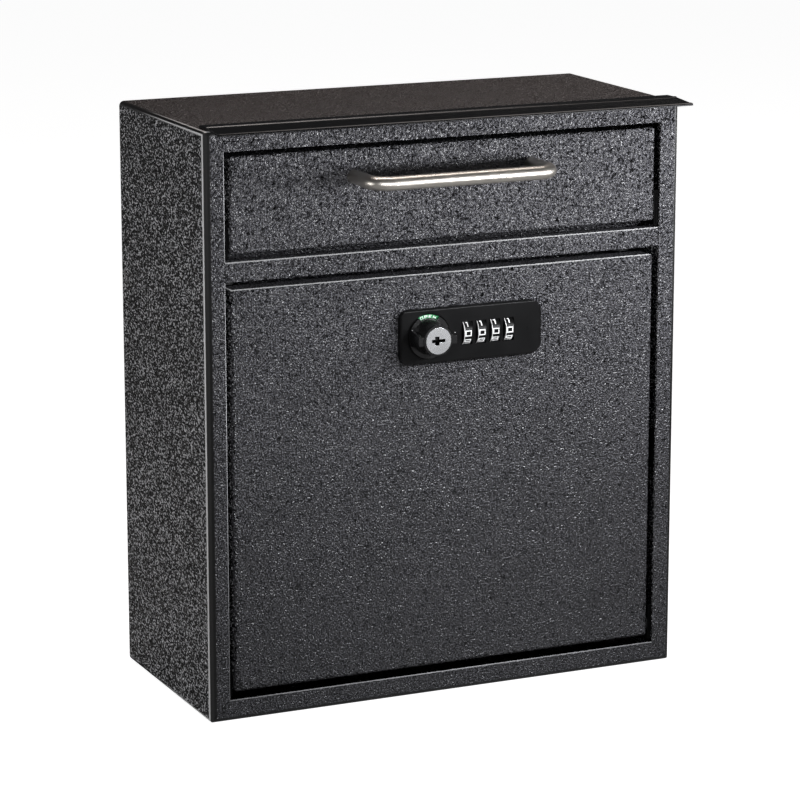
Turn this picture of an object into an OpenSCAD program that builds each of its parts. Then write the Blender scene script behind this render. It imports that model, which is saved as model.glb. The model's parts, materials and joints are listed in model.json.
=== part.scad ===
// Wall or counter drop box in folded sheet steel: a pull-down hopper flap above, a bottom-hinged
// access door below, and a four-wheel combination lock with an override key on the door.
// Millimetres, +Z up, the front faces -Y. The origin is under the middle of the overall box.

/* [Cabinet] */
// outside width of the cabinet
cab_w = 258; // [250:1:280]
// depth from the front face to the back face
cab_d = 116.5; // [112:0.5:150]
// height of the roof above the base
cab_h = 295; // [290:1:315]
// thickness of the sheet steel
sheet = 1.2; // [1.0:0.1:1.4]
// outside radius of the folded edges
bend_r = 2.6; // [1.8:0.1:2.8]
// width of each front stile
stile_w = 10.3; // [10:0.1:11]
// height of the top rail above the hopper
top_rail = 10.4; // [10:0.1:11.5]
// height of the bottom rail under the door
bottom_rail = 10.5; // [9:0.1:11]
// distance from the roof down to the underside of the mullion
mullion_drop = 74; // [73:0.5:76]
// height of the mullion between hopper and door
mullion_h = 10; // [9.5:0.1:10.5]

/* [Rain lip] */
// how far the lip reaches out in front of the face
lip_reach = 14.5; // [8:0.5:18]
// how far the lip reaches back over the roof
lip_back = 12.5; // [8:0.5:16]
// height of the lip's ridge above the roof
lip_crown = 1.8; // [1.6:0.1:3]
// how far the lip's left end stands in from the side
lip_inset = 3; // [0:0.5:5]

/* [Hopper] */
// depth of the folded edges of the hopper flap
flap_depth = 12; // [11:0.5:13]
// radius of the hopper flap's front edges
flap_edge_r = 1.6; // [1.5:0.1:1.6]
// gap above the hopper flap
flap_gap = 2.4; // [2:0.1:2.8]
// length of the sloping tray behind the flap
tray_len = 61; // [50:1:64]
// slope of the tray below level when the flap is shut, degrees
tray_slope = 35; // [33:1:35]

/* [Handle] */
// distance between the two handle posts
grip_cc = 96; // [80:1:128]
// radius of the handle rod
grip_r = 3.5; // [3.3:0.1:4.5]
// distance of the rod's middle from the flap
grip_reach = 27.5; // [24:0.5:32]
// radius of the two bends, at the rod's middle
grip_bend = 9; // [8:0.5:14]
// sideways place of the handle's middle
grip_x = -2.8; // [-5:0.1:5]
// distance of the handle's middle below the roof
grip_drop = 26.5; // [24:0.1:32]

/* [Door] */
// depth of the folded edges of the door
door_depth = 12; // [11.5:0.1:12.2]
// radius of the door's front edges
door_edge_r = 2.8; // [1.6:0.1:2.8]
// gap between the door and the frame at top and bottom
door_gap = 3.9; // [3.5:0.1:4.5]

/* [Lock] */
// sideways place of the lock
lock_x = 11; // [5:0.5:15]
// height of the lock's middle above the base
lock_z = 186.2; // [185:0.2:187]
// length of the lock plate
lock_w = 78.5; // [78:0.1:82]
// height of the lock plate
lock_h = 27.8; // [27:0.1:28.6]
// thickness of the lock plate
lock_t = 3; // [2.8:0.1:3.2]
// length of the latch cam from its axis to its tip
cam_len = 42; // [40:0.5:42]
// radius of each number wheel
dial_r = 7.3; // [7.1:0.1:7.3]
// spacing of the number wheels
dial_pitch = 7.65; // [7.5:0.05:7.8]

/* [Hidden] */
$fn = 64;
e = 1;
bt = 1.5;                                   // bracket plate
cl = 0.35;                                  // working gap between bodies
pin_r = 3;
corner_r = 2;                               // corners of the flap and the door
F = -(cab_d - grip_reach - grip_r) / 2;     // front face
B = F + cab_d;                              // back face
hw = cab_w / 2;
ow = hw - stile_w;                          // half width of the front opening
mz0 = cab_h - mullion_drop;
mz1 = mz0 + mullion_h;
fw = ow - 3.2;                              // half width of the flap
fz0 = mz1 + 3.7;
fz1 = cab_h - top_rail - flap_gap;
py = F + 6;                                 // both hinge lines
hz = fz0 + 6.3;                             // hopper hinge height
dw = ow - 2.9;                              // half width of the door
dz0 = bottom_rail + door_gap;
dz1 = mz0 - door_gap;
dhz = dz0 + 6;                              // door hinge height
cr = fz1 - hz + 0.2;                        // cheek radius
er = cr + 5;                                // stop ear radius
ty0 = py + 0.3;                             // where the tray starts to slope
ga = ow - 1;                                // outer face of the hopper bracket leg
kx = lock_x - 22.9;                         // knob axis
plate_x = lock_x + 1;                       // middle of the lock plate
recess = 0.8;                               // depth of the round recess under the knob
dx1 = lock_x - 1.8;                         // first number wheel
day = F + 2.5;                              // number wheel axle
cam_y = F + 14.5;
gz = cab_h - grip_drop;

module bx(x0, x1, y0, y1, z0, z1) translate([x0, y0, z0]) cube([x1 - x0, y1 - y0, z1 - z0]);
module ex_x(x0, x1) translate([x0, 0, 0]) rotate([90, 0, 90]) linear_extrude(x1 - x0) children();
module ex_y(y0, y1) translate([0, y1, 0]) rotate([90, 0, 0]) linear_extrude(y1 - y0) children();
module ex_z(z0, z1) translate([0, 0, z0]) linear_extrude(z1 - z0) children();
module cx(y, z, r, x0, x1) translate([x0, y, z]) rotate([0, 90, 0]) cylinder(r = r, h = x1 - x0);
module cy(x, z, r, y0, y1) translate([x, y0, z]) rotate([-90, 0, 0]) cylinder(r = r, h = y1 - y0);
module cone_y(x, z, r0, r1, y0, y1)
    translate([x, y0, z]) rotate([-90, 0, 0]) cylinder(r1 = r0, r2 = r1, h = y1 - y0);
module side(s) { if (s > 0) children(); else mirror([1, 0, 0]) children(); }

// rounded rectangle with its own radius on the left and on the right
module rr(a0, a1, b0, b1, rl, rt) {
    translate([a0 + rl, b0]) square([a1 - a0 - rl - rt, b1 - b0]);
    translate([a0, b0 + rl]) square([rl + 1, b1 - b0 - 2 * rl]);
    translate([a1 - rt - 1, b0 + rt]) square([rt + 1, b1 - b0 - 2 * rt]);
    for (b = [b0 + rl, b1 - rl]) translate([a0 + rl, b]) circle(rl);
    for (b = [b0 + rt, b1 - rt]) translate([a1 - rt, b]) circle(rt);
}
// outline seen from above, its two front corners rounded
module fr(a0, a1, b0, b1, rl, rt) {
    translate([a0 + rl, b0]) square([a1 - a0 - rl - rt, b1 - b0]);
    translate([a0, b0 + rl]) square([rl + 1, b1 - b0 - rl]);
    translate([a1 - rt - 1, b0 + rt]) square([rt + 1, b1 - b0 - rt]);
    translate([a0 + rl, b0 + rl]) circle(rl);
    translate([a1 - rt, b0 + rt]) circle(rt);
}
// outline seen from the side, its two front corners rounded
module fs(b0, b1, c0, c1, r) {
    translate([b0, c0 + r]) square([b1 - b0, c1 - c0 - 2 * r]);
    translate([b0 + r, c0]) square([b1 - b0 - r, c1 - c0]);
    for (c = [c0 + r, c1 - r]) translate([b0 + r, c]) circle(r);
}
// block with folded-looking front edges (r) and corners (rc)
module soft(x0, x1, y0, y1, z0, z1, r, rc) intersection() {
    ex_y(y0, y1) rr(x0, x1, z0, z1, rc, rc);
    ex_z(z0 - e, z1 + e) fr(x0, x1, y0, y1 + e, r, r);
    ex_x(x0 - e, x1 + e) fs(y0, y1 + e, z0, z1, r);
}

// ---- cabinet ----
module wrapper() color("#34353a") difference() {
    soft(-hw, hw, F, B, 0, cab_h, bend_r, bend_r);
    soft(-hw + sheet, hw - sheet, F + sheet, B + e, sheet, cab_h - sheet,
        bend_r - sheet, bend_r - sheet);
    bx(-ow, ow, F - e, F + sheet + e, bottom_rail, cab_h - top_rail);
    // mitre creases on the face
    for (s = [-1, 1]) for (q = [[ow, cab_h - top_rail, 1], [ow, bottom_rail, -1]])
        translate([s * q[0], F, q[1]]) rotate([0, -s * q[2] * 45, 0])
            translate([s > 0 ? -0.5 : -12, -0.2, -0.2]) cube([12.5, 0.5, 0.4]);
}
module back_panel() color("#2c2d31") difference() {
    ex_y(B - 11, B) rr(-hw + sheet, hw - sheet, sheet, cab_h - sheet, bend_r, bend_r);
    bx(-hw + 2 * sheet, hw - 2 * sheet, B - 12, B - sheet, 2 * sheet, cab_h - 2 * sheet);
    // folded corners are relieved
    for (x = [-hw, hw - 5]) for (z = [0, cab_h - 5]) bx(x, x + 5, B - 12, B - sheet, z, z + 5);
    for (x = [-90, 90]) for (z = [80, 220]) cy(x, z, 3.5, B - 3, B + e);
}
module mullion() color("#34353a") union() {
    ex_x(-ow + 0.3, ow - 0.3) polygon([[F, mz0], [F + 13.5, mz0], [F + 13.5, mz0 + 6],
        [F + 13.5 - sheet, mz0 + 6], [F + 13.5 - sheet, mz0 + sheet], [F + sheet, mz0 + sheet],
        [F + sheet, mz1 - sheet], [F + 7, mz1 - sheet], [F + 7, mz1], [F, mz1]]);
    for (s = [-1, 1]) side(s)
        bx(ow - 6, ow + 5.5, F + sheet, F + 2 * sheet, mz0 + sheet, mz1 - sheet);
}
module rain_lip() color("#0b0b0c") {
    tip = F - lip_reach;
    h = cab_h;
    c = lip_crown;
    // a ridge runs along it over the face, and a bead along its front edge
    ex_x(-hw + lip_inset, hw) polygon([[F, h], [F + lip_back, h], [F + lip_back, h + 0.7 * c],
        [F + lip_back - 0.4, h + 0.82 * c], [F + 4.8, h + 0.86 * c], [F + 4.3, h + c],
        [F + 2.9, h + c], [F + 2.4, h + 0.82 * c], [tip + 2.6, h + 0.26 * c],
        [tip + 2.3, h + 0.38 * c], [tip + 1.2, h + 0.36 * c], [tip + 0.4, h + 0.2 * c],
        [tip, h - 0.1], [tip + 0.1, h - 0.5], [tip + 0.9, h - 0.75]]);
}
module fishing_baffle() color("#2c2d31") ex_x(-hw + 9, hw - 9) polygon([
    [F + 70, cab_h - 33], [F + 70 + sheet, cab_h - 33], [F + 70 + sheet, cab_h - 2 * sheet],
    [F + 82, cab_h - 2 * sheet], [F + 82, cab_h - sheet], [F + 70, cab_h - sheet]]);
function tray_under(y) = fz0 + sheet - tan(tray_slope) * (y - ty0);
zt = tray_under(F + 28) - 0.5;              // top of the hopper bumper
module hopper_bracket(s) color("#55575c") side(s) difference() {
    union() {
        ex_x(ga - bt, ga) polygon([[F + sheet + 0.3, mz1 + 1], [F + 16, mz1 + 1],
            [F + 16, zt - 5.7], [F + 30, zt - 5.7], [F + 30, hz + 9], [F + sheet + 0.3, hz + 9]]);
        bx(ga - 0.5, ow + 7.5, F + sheet, F + sheet + bt, mz1 + 1, hz + 9);
        bx(ga - 14, ga - 0.5, F + 18, F + 30, zt - 5.7, zt - 5.7 + bt);
    }
    cx(py, hz, pin_r + 0.08, ga - 5, ga + 5);
}
module hopper_bracket_left() hopper_bracket(-1);
module hopper_bracket_right() hopper_bracket(1);
module hopper_bumpers() color("#161616") for (s = [-1, 1]) side(s)
    translate([ga - 8.5, F + 24, zt - 5.7 + bt]) cylinder(r = 4, h = 5.7 - bt);
module door_bracket(s) color("#55575c") side(s) difference() {
    union() {
        bx(ow - 2.1, ow - 0.6, F + sheet + 0.3, F + 14, dhz - 8, dhz + 10);
        bx(ow - 1.1, ow + 7.5, F + sheet, F + sheet + bt, dhz - 8, dhz + 10);
    }
    cx(py, dhz, pin_r + 0.08, ow - 5, ow + 5);
}
module door_bracket_left() door_bracket(-1);
module door_bracket_right() door_bracket(1);
module door_stop(s) color("#55575c") side(s) union() {
    bx(ow, ow + 7.3, F + sheet, F + sheet + bt, 104, 124);
    bx(ow, ow + bt, F + sheet, F + door_depth + 4, 104, 124);
    bx(ow - 9.7, ow + bt, F + door_depth + 2.5, F + door_depth + 4, 104, 124);
}
module door_stop_left() door_stop(-1);
module door_stop_right() door_stop(1);
module door_bumpers() color("#161616") for (s = [-1, 1]) side(s)
    cy(ow - 4.6, 114, 4, F + door_depth + 0.4, F + door_depth + 2.5);

// ---- hopper ----
module hopper_flap() color("#34353a") difference() {
    soft(-fw, fw, F, F + flap_depth, fz0, fz1, flap_edge_r, corner_r);
    soft(-fw + sheet, fw - sheet, F + sheet, F + flap_depth + e, fz0 + sheet, fz1 - sheet,
        max(flap_edge_r - sheet, 0.2), corner_r - sheet);
    bx(-fw - e, fw + e, py, F + flap_depth + e, fz0 - e, fz0 + 2);
    cx(py, hz, pin_r + 0.02, -fw - e, fw + e);
    for (s = [-1, 1]) cy(grip_x + s * grip_cc / 2, gz, 2.2, F - e, F + 3);
}
module hopper_tray() color("#2c2d31") {
    d = [cos(tray_slope), -sin(tray_slope)];
    n = [sin(tray_slope), cos(tray_slope)];
    b = [ty0, fz0 + sheet];
    c = b + tray_len * d;
    ex_x(-fw + 2 * sheet, fw - 2 * sheet) polygon([
        [F + sheet + 0.5, fz0 + sheet], b, c - sheet * d, c - sheet * d - 8 * n, c - 8 * n,
        c + sheet * n, [ty0 + sheet * tan(tray_slope / 2), fz0 + 2 * sheet],
        [F + 2 * sheet, fz0 + 2 * sheet], [F + 2 * sheet, fz0 + 17], [F + sheet, fz0 + 17],
        [F + sheet, fz0 + sheet + 0.5]]);
}
module cheek_outline() difference() {
    low = fz0 + sheet - hz;
    top = fz1 - sheet - hz - 0.9;
    intersection() {
        union() {
            circle(cr);
            intersection() {
                circle(er);
                polygon([[0, 0], [20, -80], [80, -80], [80, 80]]);
            }
        }
        polygon([[F + sheet + 0.5 - py, low + 0.9], [0.3, low + 0.9], [0.3, low],
            [0.3 + 70 * cos(tray_slope), low - 70 * sin(tray_slope)],
            [80, top], [F + sheet + 0.5 - py, top]]);
    }
    circle(pin_r + 0.02);
}
module hopper_cheeks() color("#2c2d31") for (s = [-1, 1]) side(s)
    translate([0, py, hz]) ex_x(fw - 2 * sheet, fw - sheet) cheek_outline();
module hopper_pins() color("#b9bbbe") for (s = [-1, 1]) side(s)
    cx(py, hz, pin_r, fw - 2 * sheet, ga + 0.4);
module washer_x(y, z, ri, ro, x0, x1) difference() {
    cx(y, z, ro, x0, x1);
    cx(y, z, ri, x0 - e, x1 + e);
}
module hopper_washers() color("#d8d6cf") for (s = [-1, 1]) side(s)
    washer_x(py, hz, pin_r + 0.05, 5, fw, ga - bt - cl);
module pull_handle() color("#c9c4bb") difference() {
    union() {
        cx(F - grip_reach, gz, grip_r, grip_x - grip_cc / 2 + grip_bend,
            grip_x + grip_cc / 2 - grip_bend);
        for (s = [0, 1]) {
            x = grip_x + (s - 0.5) * (grip_cc - 2 * grip_bend);
            translate([x, F - grip_reach + grip_bend, gz]) rotate([0, 0, 180 + 90 * s])
                rotate_extrude(angle = 90) translate([grip_bend, 0]) circle(grip_r);
            cy(grip_x + (s - 0.5) * grip_cc, gz, grip_r, F - grip_reach + grip_bend, F);
        }
    }
    for (s = [-1, 1]) cy(grip_x + s * grip_cc / 2, gz, 2, F - 9, F + e);
}
module handle_screws() color("#b9bbbe") for (s = [-1, 1]) {
    x = grip_x + s * grip_cc / 2;
    difference() {
        union() {
            cy(x, gz, 1.98, F - 8, F + sheet + 0.5);
            cy(x, gz, 3.9, F + sheet, F + sheet + 2.3);
        }
        bx(x - 2.6, x + 2.6, F + sheet + 1.3, F + sheet + 3, gz - 0.5, gz + 0.5);
        bx(x - 0.5, x + 0.5, F + sheet + 1.3, F + sheet + 3, gz - 2.6, gz + 2.6);
    }
}

// ---- door ----
module door_panel() color("#34353a") difference() {
    soft(-dw, dw, F, F + door_depth, dz0, dz1, door_edge_r, corner_r);
    soft(-dw + sheet, dw - sheet, F + sheet, F + door_depth + e, dz0 + sheet, dz1 - sheet,
        door_edge_r - sheet, corner_r - sheet);
    cx(py, dhz, pin_r + 0.02, -dw - e, dw + e);
    bx(kx - 9, lock_x + 27.7, F - e, F + 3, lock_z - 9.5, lock_z + 9.5);
    lock_screw_holes(1.7, F - e, F + 3);
}
module door_pins() color("#b9bbbe") for (s = [-1, 1]) side(s) union() {
    cx(py, dhz, pin_r, dw - sheet - 0.5, ow - 0.3);
    cx(py, dhz, pin_r + 0.2, dw - sheet - 1.5, dw - sheet);
}
module door_washers() color("#d8d6cf") for (s = [-1, 1]) side(s)
    washer_x(py, dhz, pin_r + 0.05, 5, dw, ow - 2.1 - cl);
module lock_screw_holes(r, y0, y1)
    for (x = [kx - 11.6, lock_x + 32.5]) for (z = [-9, 9]) cy(x, lock_z + z, r, y0, y1);
module lock_escutcheon() color("#17181a") difference() {
    intersection() {
        ex_y(F - lock_t, F) rr(plate_x - lock_w / 2, plate_x + lock_w / 2,
            lock_z - lock_h / 2, lock_z + lock_h / 2, 5, 8);
        ex_z(lock_z - 30, lock_z + 30)
            fr(plate_x - lock_w / 2, plate_x + lock_w / 2, F - lock_t, F + 4, 1.2, 2.4);
        ex_x(lock_x - 60, lock_x + 60)
            fs(F - lock_t, F + 4, lock_z - lock_h / 2, lock_z + lock_h / 2, 1.2);
    }
    cy(kx, lock_z, 11.8, F - lock_t - e, F - lock_t + recess);
    cy(kx, lock_z, 5, F - lock_t - e, F + e);
    dial_slots(F + e, 5.85);
    lock_screw_holes(1.5, F - 1.8, F + e);
}
module dial_slots(y1, zh) for (i = [0:3]) {
    x = dx1 + i * dial_pitch;
    cx(day, lock_z, dial_r + 0.4, x - 3, x + 3);
    bx(x - 3, x + 3, F - lock_t - e, y1, lock_z - zh, lock_z + zh);
}
module lock_housing() color("#1d1e20") difference() {
    union() {
        bx(kx - 8.7, lock_x + 27.4, F, F + 13.5, lock_z - 9.2, lock_z + 9.2);
        bx(kx - 15, lock_x + 36, F + sheet, F + sheet + 1.5, lock_z - 12, lock_z + 12);
    }
    cy(kx, lock_z, 4.55, F - e, F + 15);
    for (i = [0:3]) {
        x = dx1 + i * dial_pitch;
        cx(day, lock_z, dial_r + 0.4, x - 3, x + 3);
        bx(x - 3, x + 3, F - e, F + 5, lock_z - 7.6, lock_z + 7.6);
    }
    bx(dx1 - 3, dx1 + 3 * dial_pitch + 3, F + 8, F + 11.2, lock_z - 3, lock_z + 3);
    cx(day, lock_z, 1.5, dx1 - 5.2, dx1 + 3 * dial_pitch + 5.2);
    lock_screw_holes(1.7, F, F + 5);
}
module lock_screws() color("#b9bbbe")
    for (x = [kx - 11.6, lock_x + 32.5]) for (z = [-9, 9]) difference() {
        union() {
            cy(x, lock_z + z, 1.48, F - 1.6, F + sheet + 2);
            cy(x, lock_z + z, 2.6, F + sheet + 1.5, F + sheet + 3.3);
        }
        bx(x - 1.8, x + 1.8, F + sheet + 2.5, F + sheet + 4, lock_z + z - 0.4, lock_z + z + 0.4);
    }
module dial_axle() color("#b9bbbe")
    cx(day, lock_z, 1.48, dx1 - 5, dx1 + 3 * dial_pitch + 5);
module detent_spring() color("#a9abae") difference() {
    bx(dx1 - 2.6, dx1 + 3 * dial_pitch + 2.6, F + 10.7, F + 11.2, lock_z - 2.9, lock_z + 2.9);
    for (i = [0:2]) bx(dx1 + (i + 0.5) * dial_pitch - 0.8, dx1 + (i + 0.5) * dial_pitch + 0.8,
        F + 10, F + 12, lock_z - 1.4, lock_z + 4);
}
module dial(i) color("#101011") {
    x = dx1 + (i - 1) * dial_pitch;
    difference() {
        union() {
            cx(day, lock_z, dial_r, x - 2.2, x + 2.2);
            translate([x - 2.65, day, lock_z]) rotate([0, 90, 0])
                cylinder(r1 = dial_r - 0.45, r2 = dial_r, h = 0.45);
            translate([x + 2.2, day, lock_z]) rotate([0, 90, 0])
                cylinder(r1 = dial_r, r2 = dial_r - 0.45, h = 0.45);
        }
        cx(day, lock_z, 1.55, x - 4, x + 4);
    }
}
module dial_1() dial(1);
module dial_2() dial(2);
module dial_3() dial(3);
module dial_4() dial(4);

// ---- knob, cam and key plug ----
kf = F - lock_t - 11.4;                     // front of the knob's boss
kd = F - lock_t - 1.2;                      // front of the knob's skirt
kb = F - lock_t + recess - 0.3;             // back of the knob's skirt
module lock_knob() color("#141516") difference() {
    union() {
        cy(kx, lock_z, 11, kd, kb);
        cone_y(kx, lock_z, 7.7, 9, kf, kd + 0.1);
        intersection() {
            ex_x(kx - 12, kx + 12) polygon([[kd + 0.1, lock_z - 4.1], [kd + 0.1, lock_z + 4.1],
                [kf + 1, lock_z + 2.6], [kf + 0.4, lock_z + 2], [kf + 0.4, lock_z - 2],
                [kf + 1, lock_z - 2.6]]);
            cone_y(kx, lock_z, 10.4, 10.9, kf, kd + 1);
        }
    }
    // window in the skirt, over the mark on the lock plate
    translate([kx, kd - e, lock_z]) rotate([-90, 0, 0]) difference() {
        linear_extrude(5) polygon([[0, 0], [-12 * tan(30), -12], [12 * tan(30), -12]]);
        translate([0, 0, -1]) cylinder(r = 9.4, h = 7);
    }
    cy(kx, lock_z, 6.75, kf - e, kf + 5.8);
    cy(kx, lock_z, 4.5, F - lock_t - 4, kb + e);
}
module key_plug() color("#d9dadb") difference() {
    cy(kx, lock_z, 6.7, kf - 0.4, kf + 5.4);
    bx(kx - 3.6, kx + 3.6, kf - e, kf + 4.2, lock_z - 0.8, lock_z + 0.8);
    bx(kx - 2, kx + 0.4, kf - e, kf + 4.2, lock_z - 2.2, lock_z + 2.2);
}
module cam_spindle() color("#9a9ca0") difference() {
    union() {
        cy(kx, lock_z, 4.48, F - lock_t - 4, cam_y);
        bx(kx - 3, kx + 3, cam_y - 0.5, cam_y + 2, lock_z - 3, lock_z + 3);
    }
    cy(kx, lock_z, 1.98, cam_y - 8, cam_y + 4);
}
module lock_cam() color("#b9bbbe") difference() {
    union() {
        cy(kx, lock_z, 8.5, cam_y, cam_y + 2);
        bx(kx - cam_len + 6, kx, cam_y, cam_y + 2, lock_z - 6, lock_z + 6);
        cy(kx - cam_len + 6, lock_z, 6, cam_y, cam_y + 2);
    }
    bx(kx - 3.03, kx + 3.03, cam_y - e, cam_y + 3, lock_z - 3.03, lock_z + 3.03);
}
module cam_washer() color("#b9bbbe") difference() {
    cy(kx, lock_z, 6.5, cam_y + 2, cam_y + 3);
    cy(kx, lock_z, 2.1, cam_y + e, cam_y + 4);
}
module cam_screw() color("#b9bbbe") difference() {
    union() {
        cy(kx, lock_z, 1.96, cam_y - 7, cam_y + 3.5);
        cy(kx, lock_z, 4, cam_y + 3, cam_y + 5.6);
    }
    bx(kx - 2.6, kx + 2.6, cam_y + 4.6, cam_y + 7, lock_z - 0.5, lock_z + 0.5);
    bx(kx - 0.5, kx + 0.5, cam_y + 4.6, cam_y + 7, lock_z - 2.6, lock_z + 2.6);
}

wrapper();
back_panel();
mullion();
rain_lip();
fishing_baffle();
hopper_bracket_left();
hopper_bracket_right();
hopper_bumpers();
door_bracket_left();
door_bracket_right();
door_stop_left();
door_stop_right();
door_bumpers();
hopper_flap();
hopper_tray();
hopper_cheeks();
hopper_pins();
hopper_washers();
pull_handle();
handle_screws();
door_panel();
door_pins();
door_washers();
lock_escutcheon();
lock_housing();
lock_screws();
dial_axle();
detent_spring();
lock_knob();
cam_spindle();
lock_cam();
cam_washer();
cam_screw();
key_plug();
dial_1();
dial_2();
dial_3();
dial_4();
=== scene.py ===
"""Looks of the parcel drop box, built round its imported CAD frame. Metres, +Z up, the front faces -Y."""
import json
import math

import bpy
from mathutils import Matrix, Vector


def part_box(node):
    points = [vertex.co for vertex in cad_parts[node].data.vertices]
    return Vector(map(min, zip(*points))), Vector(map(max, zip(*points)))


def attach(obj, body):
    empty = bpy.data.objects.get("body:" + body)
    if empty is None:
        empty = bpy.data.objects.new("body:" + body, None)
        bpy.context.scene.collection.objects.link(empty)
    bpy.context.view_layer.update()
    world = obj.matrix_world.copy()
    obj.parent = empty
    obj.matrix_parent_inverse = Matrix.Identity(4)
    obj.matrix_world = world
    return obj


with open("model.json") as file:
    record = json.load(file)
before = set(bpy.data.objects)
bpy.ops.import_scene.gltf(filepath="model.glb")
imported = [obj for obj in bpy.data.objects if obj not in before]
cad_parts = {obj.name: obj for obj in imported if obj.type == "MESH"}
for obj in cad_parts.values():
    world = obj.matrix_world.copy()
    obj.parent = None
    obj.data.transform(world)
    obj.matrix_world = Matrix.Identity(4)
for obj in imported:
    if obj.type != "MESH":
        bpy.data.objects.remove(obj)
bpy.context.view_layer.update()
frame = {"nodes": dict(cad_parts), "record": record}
nodes = frame["nodes"]
MM = 0.001
WELD = 0.002 * MM                 # corners closer than this are one
shell_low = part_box("wrapper")[0]


# ---------------------------------------------------------------- materials
class Recipe:
    """A material's node tree, with one Principled shader."""

    def __init__(self, name, **shader):
        self.material = bpy.data.materials.new(name)
        self.material.use_nodes = True
        self.tree = self.material.node_tree
        self.shader = self.tree.nodes["Principled BSDF"]
        for socket, value in shader.items():
            self.shader.inputs[socket.replace("_", " ")].default_value = value

    def add(self, kind, settings=None, **inputs):
        node = self.tree.nodes.new(kind)
        for name, value in (settings or {}).items():
            setattr(node, name, value)
        for name, value in inputs.items():
            socket = node.inputs[int(name[1:]) if name[0] == "i" and name[1:].isdigit() else name]
            if isinstance(value, bpy.types.NodeSocket):
                self.tree.links.new(value, socket)
            else:
                socket.default_value = value
        return node

    def place(self, stretch=(1, 1, 1)):
        """Object coordinates, which are the row's own frame in metres."""
        where = self.add("ShaderNodeTexCoord").outputs["Object"]
        return self.add("ShaderNodeMapping", Vector=where, Scale=stretch).outputs[0]

    def noise(self, size, detail=2.0, rough=0.5, distortion=0.0, stretch=(1, 1, 1)):
        """Noise whose lumps measure about size metres."""
        return self.add(
            "ShaderNodeTexNoise", Vector=self.place(stretch), Scale=1 / size,
            Detail=detail, Roughness=rough, Distortion=distortion,
        ).outputs["Fac"]

    def ramp(self, factor, *stops):
        """A colour ramp: each stop is (position, grey or colour)."""
        node = self.add("ShaderNodeValToRGB", Fac=factor)
        points = node.color_ramp.elements
        while len(points) < len(stops):
            points.new(0.5)
        for point, (position, colour) in zip(points, stops):
            point.position = position
            grey = (colour,) * 3 if isinstance(colour, (int, float)) else colour
            point.color = (*grey, 1)
        return node.outputs["Color"]

    def math(self, operation, a, b=0.0):
        return self.add("ShaderNodeMath", {"operation": operation}, i0=a, i1=b).outputs[0]

    def mix(self, factor, a, b):
        node = self.add("ShaderNodeMix", {"data_type": "RGBA"}, i0=factor, i6=a, i7=b)
        return node.outputs[2]

    def bump(self, height, strength, depth):
        return self.add("ShaderNodeBump", Height=height, Strength=strength, Distance=depth).outputs[0]

    def vector(self, operation, a, b=None, c=None, scale=None):
        extra = {f"i{k}": v for k, v in ((1, b), (2, c)) if v is not None}
        if scale is not None:
            extra["Scale"] = scale
        return self.add("ShaderNodeVectorMath", {"operation": operation}, i0=a, **extra).outputs[0]

    def slopes(self, size, stretch, step=0.3):
        """Noise with lumps of about size metres, and how much it climbs along x, y and z in a step."""
        start = self.place(stretch)
        here, *ahead = [
            self.add("ShaderNodeTexNoise", Vector=self.vector("ADD", start, offset), Scale=1 / size,
                     Detail=0.0).outputs["Fac"]
            for offset in ((0, 0, 0), (step * size, 0, 0), (0, step * size, 0), (0, 0, step * size))
        ]
        climb = self.add("ShaderNodeCombineXYZ", **{
            f"i{k}": self.math("SUBTRACT", there, here) for k, there in enumerate(ahead)
        })
        return here, climb.outputs[0]

    def outward(self, direction):
        """A direction in the row's own frame, turned to the world's."""
        return self.add("ShaderNodeVectorTransform", {"convert_from": "OBJECT", "convert_to": "WORLD"},
                        Vector=direction).outputs[0]

    def use(self, **sockets):
        for name, value in sockets.items():
            self.tree.links.new(value, self.shader.inputs[name.replace("_", " ")])
        return self.material


GRAIN = 0.88 * MM                 # size of the paint's grains
GLINT_SIZE = 0.9 * MM                  # size of the pale specks on the flanks, painted glints
STRETCH = (1, 0.6, 1)             # both are longer from front to back
TILT = 6.5                        # how far the grains lean
SHADE_STRIP = 4.3 * MM              # width of the painted shade strip beside the front left fold
SHADE_STRIP_LEAN = -0.7                  # the painted shade strip's normal leans this much to the left
NO_HIGHLIGHT_RANGE = ("z", 1.1, 1.2)         # no normal reaches these values
BLACK, HIGHLIGHT_FOLD_ROUGH, DARK_ROUGH = ((k,) * 3 + (1,) for k in (0, 0.3, 0.5))


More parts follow.
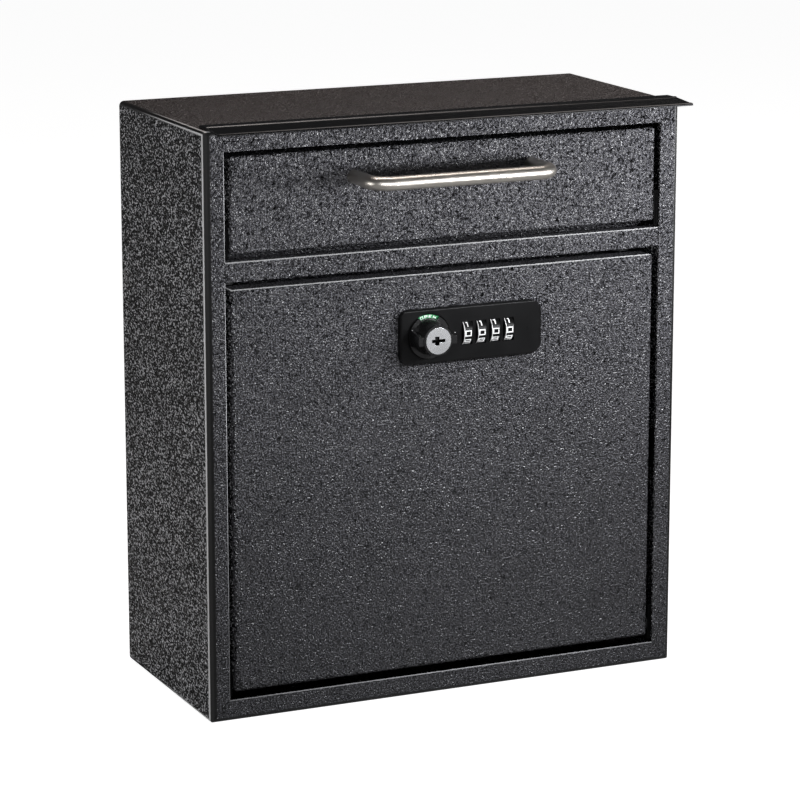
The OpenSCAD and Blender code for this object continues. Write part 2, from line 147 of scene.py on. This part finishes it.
def hammered_paint(name, light=1.0, highlight_range=NO_HIGHLIGHT_RANGE, pale=0.42, cabinet=False):
    """Charcoal powder coat of fine grains that lean to all sides.

    Folds whose normal lies between the two given values along the given axis are painted pale: a painted
    highlight. The cabinet's other folds are painted near-black as shade, as is a strip beside its front left
    fold. Side faces are near-black with pale specks, painted shade and painted glints, and the cabinet's top
    faces get a warmer, calmer tone, painted warm light from above.
    """
    r = Recipe(name, Specular_IOR_Level=0.6)
    grain, slope = r.slopes(GRAIN, STRETCH)
    patch = r.noise(35 * MM, detail=2.0)
    facing = r.add("ShaderNodeSeparateXYZ", Vector=r.add("ShaderNodeTexCoord").outputs["Normal"])
    sides = [r.math("ABSOLUTE", facing.outputs[k]) for k in range(3)]
    flat = r.math("MAXIMUM", r.math("MAXIMUM", sides[0], sides[1]), sides[2])
    fold = r.ramp(flat, (0.985, 1.0), (0.999, 0.0))
    top = r.ramp(sides[2], (0.90, 0.0), (0.985, 1.0))
    flank = r.ramp(sides[0], (0.90, 0.0), (0.985, 1.0))
    greys = (0.046, 0.045, 0.049), (0.115, 0.115, 0.126)
    middle, bright = (tuple(c * light for c in grey) for grey in greys)
    # grain colour: near-black pits are painted shade in the dents, the palest tops painted highlights
    front = r.ramp(grain, (0.32, (0.016, 0.016, 0.018)), (0.50, middle), (0.66, bright))
    # side faces: near-black with pale specks, painted shade and painted glints of grazing light
    glint_noise = r.noise(GLINT_SIZE, detail=0.0, stretch=STRETCH)
    flank_glints = r.ramp(glint_noise, (0.49, (0.001, 0.001, 0.001)), (0.55, (0.02, 0.02, 0.021)),
                      (0.63, (0.58, 0.58, 0.60)))
    # cabinet top faces: a warmer, calmer tone, painted warm light from above
    roof_warm_light = r.ramp(grain, (0.38, (0.038, 0.030, 0.028)), (0.62, (0.062, 0.050, 0.047)))
    # folds whose normal along the given axis lies in the given range are painted pale, a painted highlight
    turned = facing.outputs[2] if highlight_range[0] == "z" else sides[1]
    fold_highlight = r.ramp(turned, (highlight_range[1] - 0.08, 0.0), (highlight_range[1], 1.0), (highlight_range[2], 1.0), (highlight_range[2] + 0.08, 0.0))
    # fold paint: near-black painted shade, or a pale painted highlight where the fold faces the given range
    bend = r.mix(fold_highlight, (0.002, 0.002, 0.002, 1), (pale, pale, pale, 1))
    if cabinet:
        # painted shade: a near-black strip on the front beside its left fold, with its normal leaned left
        across = r.add("ShaderNodeSeparateXYZ", Vector=r.place()).outputs[0]
        inset = r.math("DIVIDE", r.math("SUBTRACT", across, shell_low.x), SHADE_STRIP)
        near, frontal = r.ramp(inset, (0.75, 1.0), (1.0, 0.0)), r.ramp(sides[1], (0.8, 0.0), (0.95, 1.0))
        shade_strip = r.math("MULTIPLY", near, frontal)
        fold = r.math("MAXIMUM", fold, shade_strip)
        lean = r.outward(r.add("ShaderNodeCombineXYZ", i0=r.math("MULTIPLY", shade_strip, SHADE_STRIP_LEAN)).outputs[0])
    else:
        fold = r.math("MULTIPLY", fold, fold_highlight)
    calm = r.mix(top, r.mix(flank, front, flank_glints), roof_warm_light if cabinet else front)
    tone = r.ramp(patch, (0.3, 0.92), (0.7, 1.08))
    shaded = r.add("ShaderNodeMix", {"data_type": "RGBA", "blend_type": "MULTIPLY"},
                   i0=1.0, i6=calm, i7=tone).outputs[2]
    colour = r.mix(fold, shaded, bend)
    pits = r.mix(flank, r.ramp(grain, (0.38, 0.5), (0.52, 0.22)), r.ramp(grain, (0.48, 0.95), (0.58, 0.2)))
    rough = r.mix(fold, pits, r.mix(fold_highlight, DARK_ROUGH, HIGHLIGHT_FOLD_ROUGH))
    full, half = ((k,) * 3 + (1,) for k in (TILT, TILT * 0.5))
    amount = r.mix(fold, r.mix(top, full, half), BLACK)
    leaning = r.vector("MULTIPLY_ADD", r.outward(slope), r.vector("SCALE", amount, scale=-1.0),
                       r.add("ShaderNodeNewGeometry").outputs["Normal"])
    if cabinet:
        leaning = r.vector("ADD", leaning, lean)
    return r.use(Base_Color=colour, Roughness=rough, Normal=r.vector("NORMALIZE", leaning))


def gloss_black(name):
    r = Recipe(name, Specular_IOR_Level=0.2)
    dust = r.noise(6 * MM, detail=4.0)
    colour = r.ramp(dust, (0.35, (0.003, 0.003, 0.0035)), (0.75, (0.005, 0.005, 0.0055)))
    rough = r.ramp(dust, (0.3, 0.16), (0.8, 0.24))
    return r.use(Base_Color=colour, Roughness=rough,
                 Normal=r.bump(r.noise(2.5 * MM), 0.25, 0.02 * MM))


def satin_black(name, base=0.0055, gloss=0.10, rough=0.30):
    """Fine-textured moulded zinc or plastic, as on the lock."""
    r = Recipe(name, Specular_IOR_Level=gloss)
    skin = r.noise(0.35 * MM, detail=2.0)
    patch = r.noise(12 * MM)
    colour = r.ramp(patch, (0.3, (base, base, base * 1.03)), (0.7, (base * 1.3, base * 1.3, base * 1.34)))
    finish = r.ramp(patch, (0.3, rough - 0.03), (0.7, rough + 0.04))
    return r.use(Base_Color=colour, Roughness=finish, Normal=r.bump(skin, 0.3, 0.02 * MM))


def brushed(name, colour, stretch, rough=(0.24, 0.40), depth=0.006, face_y=None):
    """Brushed metal, long scratches stretched along the bar; painted shade darkens it behind face_y, in a
    keyway.
    """
    r = Recipe(name, Metallic=1.0)
    lines = r.noise(0.22 * MM, detail=3.0, rough=0.6, stretch=stretch)
    cloud = r.noise(14 * MM)
    shade = [tuple(c * k for c in colour) for k in (0.86, 1.0)]
    tone = r.ramp(lines, (0.3, shade[0]), (0.7, shade[1]))
    # painted shade: near-black behind face_y, inside the keyway
    if face_y is not None:
        along = r.add("ShaderNodeSeparateXYZ", Vector=r.place()).outputs[1]
        behind = r.math("DIVIDE", r.math("SUBTRACT", along, face_y), MM)
        tone = r.mix(r.ramp(behind, (0.1, 0.0), (0.3, 1.0)), tone, (0.02, 0.02, 0.02, 1))
    finish = r.ramp(r.math("ADD", r.math("MULTIPLY", lines, 0.6), r.math("MULTIPLY", cloud, 0.4)),
                    (0.35, rough[0]), (0.65, rough[1]))
    return r.use(Base_Color=tone, Roughness=finish, Normal=r.bump(lines, 0.5, depth * MM))


def zinc_plate(name):
    r = Recipe(name, Metallic=1.0)
    spangle = r.noise(3 * MM, detail=3.0)
    tone = r.ramp(spangle, (0.3, (0.26, 0.27, 0.28)), (0.7, (0.40, 0.40, 0.39)))
    finish = r.ramp(spangle, (0.3, 0.48), (0.7, 0.62))
    return r.use(Base_Color=tone, Roughness=finish, Normal=r.bump(r.noise(0.5 * MM), 0.2, 0.02 * MM))


def plain(name, dark, bright, size, rough, bump_depth, gloss=0.5):
    """A moulded or printed surface with a little mottling."""
    r = Recipe(name, Specular_IOR_Level=gloss)
    cloud = r.noise(size, detail=3.0)
    finish = r.ramp(cloud, (0.3, rough - 0.05), (0.7, rough + 0.05))
    return r.use(Base_Color=r.ramp(cloud, (0.3, dark), (0.7, bright)), Roughness=finish,
                 Normal=r.bump(r.noise(size * 0.2), 0.3, bump_depth))


paint = hammered_paint("hammered_charcoal", highlight_range=("y", 0.16, 0.52), pale=0.7, cabinet=True)
paint_door = hammered_paint("hammered_charcoal_door", highlight_range=("z", 0.88, 0.99), pale=0.6)
paint_mullion = hammered_paint("hammered_charcoal_mullion", highlight_range=("z", 0.55, 0.99))
paint_flap = hammered_paint("hammered_charcoal_flap")
paint_inner = hammered_paint("hammered_charcoal_inner", light=0.8)
# pale paint on the edge beads, a painted highlight along the openings' edges
paint_highlight = plain("pale_highlight_paint", (0.36, 0.36, 0.37), (0.48, 0.48, 0.49), 1.5 * MM, 0.4, 0.05 * MM)
lip_black = gloss_black("gloss_black_lip")
lock_black = satin_black("satin_black_lock")
knob_black = satin_black("satin_black_knob", base=0.006, gloss=0.5, rough=0.22)
dial_black = satin_black("wheel_black", base=0.004)
# near-black for the parts that show in the door gaps, painted shade so that the gaps stay dark
black_steel = satin_black("near_black_gap_shade", base=0.002, gloss=0.03, rough=0.85)
handle_metal = brushed("brushed_nickel", (0.62, 0.585, 0.53), (0.04, 1, 1), rough=(0.30, 0.42))
plug_metal = brushed("satin_chrome", (0.95, 0.96, 0.97), (1, 1, 1), rough=(0.20, 0.30), depth=0.003,
                     face_y=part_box("key_plug")[0].y)
zinc = zinc_plate("zinc_plate")
rubber = plain("black_rubber", (0.012, 0.012, 0.012), (0.022, 0.022, 0.022), 2 * MM, 0.75, 0.05 * MM)
nylon = plain("black_nylon", (0.008, 0.008, 0.008), (0.014, 0.014, 0.014), 3 * MM, 0.6, 0.03 * MM, gloss=0.1)
# white print; it also paints the highlights of the wheel rims and the dash beside the knob
white_print_and_highlight = plain("print_white", (0.78, 0.78, 0.77), (0.86, 0.86, 0.85), 1 * MM, 0.5, 0.01 * MM)
green_print = plain("green_print", (0.002, 0.20, 0.050), (0.004, 0.28, 0.070), 1 * MM, 0.45, 0.01 * MM)
red_print = plain("red_print", (0.30, 0.012, 0.010), (0.38, 0.018, 0.014), 1 * MM, 0.45, 0.01 * MM)

FINISH = {
    "paint": paint, "paint_inner": paint_inner, "gloss_black": lip_black, "zinc": zinc,
    "black_steel": black_steel, "rubber": rubber, "nylon": nylon, "brushed": handle_metal,
    "lock_black": lock_black, "plug_chrome": plug_metal, "dial_black": dial_black,
}

OWN_FINISH = {
    "door_panel": paint_door, "mullion": paint_mullion, "hopper_flap": paint_flap, "lock_knob": knob_black,
}


# ---------------------------------------------------------------- CAD nodes
def round_edges(piece, width, angle=38, segments=3):
    """Rounds the sharp edges a little, so that they catch the light as pressed steel does."""
    weld = piece.modifiers.new("weld", "WELD")
    weld.merge_threshold = WELD
    bevel = piece.modifiers.new("edges", "BEVEL")
    bevel.width = width
    bevel.segments = segments
    bevel.limit_method = "ANGLE"
    bevel.angle_limit = math.radians(angle)
    bevel.harden_normals = False
    normals = piece.modifiers.new("normals", "WEIGHTED_NORMAL")
    normals.keep_sharp = True


EDGE = {
    "wrapper": 0.35, "mullion": 0.8, "hopper_flap": 0.4, "door_panel": 0.5, "back_panel": 0.2,
    "rain_lip": 0.45, "lock_escutcheon": 0.15, "lock_knob": 0.25, "key_plug": 0.2,
    "hopper_tray": 0.2, "hopper_cheeks": 0.2, "fishing_baffle": 0.2,
}
for entry in frame["record"]["subparts"]:
    piece = nodes[entry["node"]]
    piece.data.materials.clear()
    piece.data.materials.append(OWN_FINISH.get(entry["node"], FINISH[entry["material_slot"]]))
    if entry["node"] in EDGE:
        round_edges(piece, EDGE[entry["node"]] * MM)


# ---------------------------------------------------------------- printed figures
FIGURES = {
    "0": [[(-1, -1), (1, -1), (1, 1), (-1, 1), (-1, -1)]],
    "1": [[(-0.6, 1), (0, 1), (0, -1)]],
    "2": [[(-1, 1), (1, 1), (1, 0), (-1, 0), (-1, -1), (1, -1)]],
    "3": [[(-1, 1), (1, 1), (1, -1), (-1, -1)], [(-0.5, 0), ("in", 0)]],
    "4": [[(-1, 1), (-1, 0), ("in", 0)], [(1, 1), (1, -1)]],
    "5": [[(1, 1), (-1, 1), (-1, 0), (1, 0), (1, -1), (-1, -1)]],
    "6": [[(1, 1), (-1, 1), (-1, -1), (1, -1), (1, 0), ("-in", 0)]],
    "7": [[(-1, 1), (1, 1), (1, -1)]],
    "8": [[(-1, -1), (1, -1), (1, 1), (-1, 1), (-1, -1)], [("-in", 0), ("in", 0)]],
    "9": [[(-1, -1), (1, -1), (1, 1), (-1, 1), (-1, 0), ("in", 0)]],
    "O": [[(-1, -1), (1, -1), (1, 1), (-1, 1), (-1, -1)]],
    "P": [[(-1, -1), (-1, 1), (1, 1), (1, 0), ("-in", 0)]],
    "E": [[(1, 1), (-1, 1), (-1, -1), (1, -1)], [("-in", 0), (0.6, 0)]],
    "N": [[(-1, -1), (-1, 1)], [(1, 1), (1, -1)], [("-in", 0.7), ("in", -0.7)]],
}


def strokes(figure, half_size, half_stroke):
    """The figure's centre lines in metres; 'in' stops a stroke at the edge of the one it meets."""
    inner = 1 - half_stroke / half_size[0]
    named = {"in": inner, "-in": -inner}
    for line in FIGURES[figure]:
        yield [Vector((named.get(u, u) * half_size[0], v * half_size[1])) for u, v in line]


def ribbon(line, half_stroke, step):
    """Left and right edge points along a line, mitred at its corners, no further apart than step."""
    closed = line[0] == line[-1]
    along = [(b - a).normalized() for a, b in zip(line, line[1:])]
    edges = []
    for i, point in enumerate(line):
        before = along[i - 1] if i > 0 else (along[-1] if closed else along[0])
        after = along[i] if i < len(along) else (along[0] if closed else along[-1])
        left = (before.orthogonal() + after.orthogonal()).normalized()
        reach = half_stroke / max(left.dot(after.orthogonal()), 0.3)
        edges.append((point + left * reach, point - left * reach))
    rungs = []
    for (a, b), (c, d) in zip(edges, edges[1:]):
        count = max(1, math.ceil(((c + d) - (a + b)).length / 2 / step))
        rungs += [(a.lerp(c, k / count), b.lerp(d, k / count)) for k in range(count)]
    rungs.append(edges[-1])
    return rungs, closed


def print_figures(name, jobs, low, high, finish):
    """One mesh of thin raised strokes. Each job is (figure, half size, half stroke, place)."""
    verts, faces = [], []
    for figure, half_size, half_stroke, place in jobs:
        for line in strokes(figure, half_size, half_stroke):
            rungs, closed = ribbon(line, half_stroke, 0.3 * MM)
            first = len(verts)
            for left, right in rungs:
                for point, h in ((left, low), (left, high), (right, high), (right, low)):
                    verts.append(place(point.x, point.y, h))
            count = len(rungs)
            for k in range(count - 1):
                a, b = first + 4 * k, first + 4 * (k + 1)
                for i in range(4):
                    j = (i + 1) % 4
                    faces.append((a + i, a + j, b + j, b + i))
            if not closed:
                faces.append(tuple(first + i for i in (3, 2, 1, 0)))
                faces.append(tuple(first + 4 * (count - 1) + i for i in range(4)))
    return make_piece(name, verts, faces, finish)


def make_piece(name, verts, faces, finish, smooth=False):
    mesh = bpy.data.meshes.new(name)
    mesh.from_pydata([tuple(v) for v in verts], [], faces)
    mesh.validate()
    mesh.materials.append(finish)
    piece = bpy.data.objects.new(name, mesh)
    bpy.context.scene.collection.objects.link(piece)
    if smooth:
        for face in mesh.polygons:
            face.use_smooth = True
    weld = piece.modifiers.new("weld", "WELD")
    weld.merge_threshold = WELD
    return piece


# figures round each number wheel: "0" faces front, "1" is next above
WHEEL_STEP = math.radians(36)
FIGURE, FIGURE_STROKE = (1.45 * MM, 1.22 * MM), 0.29 * MM


def wheel(index):
    """Middle and radius of a number wheel."""
    low_corner, high_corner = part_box(f"dial_{index}")
    return (low_corner + high_corner) / 2, (high_corner.z - low_corner.z) / 2


for index in range(1, 5):
    middle, radius = wheel(index)

    def on_wheel(turn, middle=middle, radius=radius):
        def place(u, v, h):
            angle = turn + v / radius
            r = radius + h
            return (middle.x + u, middle.y - r * math.cos(angle), middle.z + r * math.sin(angle))
        return place

    jobs = [(str(k), FIGURE, FIGURE_STROKE, on_wheel(k * WHEEL_STEP)) for k in range(10)]
    figures = print_figures(f"wheel_figures_{index}", jobs, -0.03 * MM, 0.05 * MM, white_print_and_highlight)
    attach(figures, f"wheel_{index}")

RIM_X, RIM_WIDTH, RIM_SUNK, RIM_PROUD = -2.15 * MM, 0.28 * MM, -0.15 * MM, 0.04 * MM


def rim_piece(name, middle, radius, count=64):
    """A pale ring on the left edge of a wheel, a painted highlight of the light caught on its edge."""
    corners = ((0, RIM_SUNK), (0, RIM_PROUD), (RIM_WIDTH, RIM_PROUD), (RIM_WIDTH, RIM_SUNK))
    left = middle + Vector((RIM_X, 0, 0))
    verts = [
        left + Vector((across, -(radius + up) * math.cos(a), (radius + up) * math.sin(a)))
        for a in (2 * math.pi * k / count for k in range(count)) for across, up in corners
    ]
    faces = [
        (4 * k + i, 4 * k + (i + 1) % 4, 4 * ((k + 1) % count) + (i + 1) % 4, 4 * ((k + 1) % count) + i)
        for k in range(count) for i in range(4)
    ]
    return make_piece(name, verts, faces, white_print_and_highlight)


# pale rings on the wheels' left edges: painted highlights
for index in range(1, 5):
    rim = rim_piece(f"wheel_highlight_rim_{index}", *wheel(index))
    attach(rim, f"wheel_{index}")

# marks under the knob's window, on the floor of the lock plate's recess
plate_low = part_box("lock_escutcheon")[0]
knob_low, knob_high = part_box("lock_knob")
knob_x = (knob_low.x + knob_high.x) / 2
knob_z = (knob_low.z + knob_high.z) / 2
RECESS = 0.8 * MM
floor_y = plate_low.y + RECESS
PAD_INNER, PAD_OUTER, PAD_HALF_ANGLE = 9.55 * MM, 11.65 * MM, math.radians(28)
WORD_R = 10.65 * MM
PRINT_SUNK, PRINT_PROUD = -0.02 * MM, 0.05 * MM


def round_knob(u, v, h):
    """u runs clockwise round the knob from twelve o'clock, v outward from WORD_R, h toward the front."""
    angle = u / WORD_R
    r = WORD_R + v
    return (knob_x + r * math.sin(angle), floor_y - h, knob_z + r * math.cos(angle))


def arc_pad(name, turn, finish, count=24):
    """A thin printed arc round the knob."""
    corners = ((PAD_INNER, 0), (PAD_INNER, PRINT_PROUD), (PAD_OUTER, PRINT_PROUD), (PAD_OUTER, 0))
    verts, faces = [], []
    for k in range(count + 1):
        angle = turn + PAD_HALF_ANGLE * (2 * k / count - 1)
        for r, h in corners:
            verts.append((knob_x + r * math.sin(angle), floor_y - h, knob_z + r * math.cos(angle)))
    for k in range(count):
        a, b = 4 * k, 4 * (k + 1)
        for i in range(4):
            j = (i + 1) % 4
            faces.append((a + i, b + i, b + j, a + j))
    faces.append((0, 1, 2, 3))
    faces.append(tuple(4 * count + i for i in (3, 2, 1, 0)))
    return make_piece(name, verts, faces, finish)


open_pad = arc_pad("open_mark", 0.0, green_print)
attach(open_pad, "door")
locked_pad = arc_pad("locked_mark", math.radians(90), red_print)
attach(locked_pad, "door")
LETTER, LETTER_STROKE, LETTER_STEP = (0.66 * MM, 0.62 * MM), 0.16 * MM, 2.35 * MM
word = [
    (letter, LETTER, LETTER_STROKE, lambda u, v, h, at=at: round_knob(u + at, v, h))
    for letter, at in zip("OPEN", [(k - 1.5) * LETTER_STEP for k in range(4)])
]
open_word = print_figures("open_word", word, 0.02 * MM, 0.09 * MM, white_print_and_highlight)
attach(open_word, "door")

# white pointer on the knob's skirt, below the window
skirt_y = plate_low.y - 1.2 * MM
tip, foot, half = 9.2 * MM, 8.1 * MM, 0.8 * MM
outline = [(0, tip), (half, foot), (-half, foot)]
verts = [(knob_x + u, skirt_y - h, knob_z + v) for h in (PRINT_SUNK, PRINT_PROUD) for u, v in outline]
pointer = make_piece(
    "knob_pointer", verts,
    [(0, 1, 2), (5, 4, 3), (0, 3, 4, 1), (1, 4, 5, 2), (2, 5, 3, 0)], white_print_and_highlight,
)
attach(pointer, "knob")


def dash(name, angle, near, far, half_width, back_y, finish):
    """A short raised dash pointing away from the knob's axis."""
    turn = math.radians(angle)
    out = Vector((math.sin(turn), 0, math.cos(turn)))
    across = Vector((math.cos(turn), 0, -math.sin(turn))) * half_width
    axis = Vector((knob_x, back_y, knob_z))
    ends = ((near, -1), (near, 1), (far, 1), (far, -1))
    plan = [axis + out * reach + across * side for reach, side in ends]
    verts = [p + Vector((0, -h, 0)) for h in (PRINT_SUNK, PRINT_PROUD) for p in plan]
    sides = [(i, (i + 1) % 4, (i + 1) % 4 + 4, i + 4) for i in range(4)]
    return make_piece(name, verts, [(3, 2, 1, 0), (4, 5, 6, 7)] + sides, finish)


knob_tick = dash("knob_tick", -64, 8.9 * MM, 10.9 * MM, 0.28 * MM, skirt_y, white_print_and_highlight)
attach(knob_tick, "knob")
# a thin pale dash on the plate right of the knob: a painted highlight at the end of the knob's wing
wing_highlight_dash = dash("wing_highlight_dash", 84, 13.2 * MM, 14.8 * MM, 0.12 * MM, plate_low.y, white_print_and_highlight)
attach(wing_highlight_dash, "door")

# pale beads on the edges of the two openings, the sills and the left jambs: a painted highlight
rail_low, rail_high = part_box("mullion")
opening_x, sill_z, head_z = -118.7 * MM, 10.5 * MM, 284.6 * MM
BEAD = 0.42 * MM


def bead(name, start, end):
    """An eight-sided rod along an edge."""
    along = (end - start).normalized()
    side = along.cross(Vector((0, 1, 0)))
    verts = [
        p + (side * math.cos(a) + Vector((0, 1, 0)) * math.sin(a)) * BEAD
        for p in (start, end) for a in (math.pi / 4 * k for k in range(8))
    ]
    faces = [(i, (i + 1) % 8, (i + 1) % 8 + 8, i + 8) for i in range(8)]
    faces += [tuple(range(7, -1, -1)), tuple(range(8, 16))]
    piece = make_piece(name, verts, faces, paint_highlight, smooth=True)
    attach(piece, "cabinet")


edge_y = shell_low.y + BEAD
bead("bead_sill", Vector((opening_x, edge_y, sill_z)), Vector((-opening_x, edge_y, sill_z)))
bead("bead_jamb_low", Vector((opening_x, edge_y, sill_z)), Vector((opening_x, edge_y, rail_low.z)))
bead("bead_jamb_high", Vector((opening_x, edge_y, rail_high.z)), Vector((opening_x, edge_y, head_z)))


# ---------------------------------------------------------------- stage, light and camera
FLOOR_GLOW = 0.95


def pale_floor(reach=9.0):
    """A plain pale floor, lit from within a little so that it reads as a white studio sheet."""
    r = Recipe("pale_floor", Specular_IOR_Level=0.1)
    r.shader.inputs["Emission Color"].default_value = (1, 1, 1, 1)
    seen = r.add("ShaderNodeLightPath").outputs["Is Camera Ray"]
    cloud = r.noise(0.5)
    finish = r.use(
        Base_Color=r.ramp(cloud, (0.3, 0.54), (0.7, 0.56)), Roughness=r.ramp(cloud, (0.3, 0.6), (0.7, 0.7)),
        Emission_Strength=r.math("MULTIPLY", seen, FLOOR_GLOW),
    )
    count = 48
    rim = [(reach * math.cos(a), reach * math.sin(a), 0)
           for a in (2 * math.pi * k / count for k in range(count))]
    mesh = bpy.data.meshes.new("floor")
    mesh.from_pydata(rim, [], [tuple(range(count))])
    mesh.materials.append(finish)
    piece = bpy.data.objects.new("floor", mesh)
    bpy.context.scene.collection.objects.link(piece)


pale_floor()


def area_light(name, at, aim, size, power, colour=(1, 1, 1)):
    light = bpy.data.lights.new(name, "AREA")
    light.shape = "RECTANGLE"
    light.size, light.size_y = size
    light.energy = power
    light.color = colour
    lamp = bpy.data.objects.new(name, light)
    lamp.location = at
    lamp.rotation_mode = "QUATERNION"
    lamp.rotation_quaternion = (Vector(aim) - Vector(at)).to_track_quat("-Z", "Y")
    bpy.context.scene.collection.objects.link(lamp)


MIDDLE = (0, 0, 0.16)
area_light("key", (0.17, -0.22, 0.268), (0.07, -0.05, 0.256), (0.25, 0.036), 1.1, (0.96, 0.97, 1.0))
area_light("key_left", (-0.10, -0.25, 0.268), (-0.08, -0.05, 0.26), (0.20, 0.036), 0.35, (0.96, 0.97, 1.0))
area_light("front_low", (0.42, -1.02, 0.03), (0, -0.08, 0.25), (0.5, 0.35), 0.6, (0.96, 0.97, 1.0))
area_light("left_front", (-1.0, -1.0, 0.6), MIDDLE, (0.4, 0.4), 0.5, (0.96, 0.97, 1.0))
area_light("top_strip", (0.05, 0.12, 0.9), (0, -0.1, 0.27), (0.6, 0.06), 2.2, (1.0, 0.92, 0.89))
area_light("left_side", (-1.2, 0.15, 0.15), MIDDLE, (0.4, 0.26), 3.3)
area_light("left_back", (-1.1, 1.6, 0.45), MIDDLE, (0.35, 0.35), 0.8)
area_light("back_fill", (1.1, 1.2, 1.6), MIDDLE, (0.8, 0.8), 3.8, (1.0, 0.92, 0.89))

world = bpy.data.worlds.new("studio")
world.use_nodes = True
sky = world.node_tree.nodes["Background"]
sky.inputs["Color"].default_value = (0.94, 0.96, 1.0, 1)
sky.inputs["Strength"].default_value = 0.03
bpy.context.scene.world = world
bpy.context.scene.view_settings.view_transform = "Standard"

AZIMUTH, ELEVATION = math.radians(-24.461), math.radians(13.105)
CAMERA_AT, LENS, SENSOR = (-0.6971, -1.51775, 0.53189), 150.9, 36
camera_data = bpy.data.cameras.new("camera")
camera_data.lens, camera_data.sensor_width = LENS, SENSOR
camera_data.clip_start, camera_data.clip_end = 0.05, 50
camera = bpy.data.objects.new("camera", camera_data)
back = Vector((
    math.sin(AZIMUTH) * math.cos(ELEVATION), -math.cos(AZIMUTH) * math.cos(ELEVATION),
    math.sin(ELEVATION),
))
camera.location = CAMERA_AT
camera.rotation_mode = "QUATERNION"
camera.rotation_quaternion = (-back).to_track_quat("-Z", "Y")
bpy.context.scene.collection.objects.link(camera)
bpy.context.scene.camera = camera
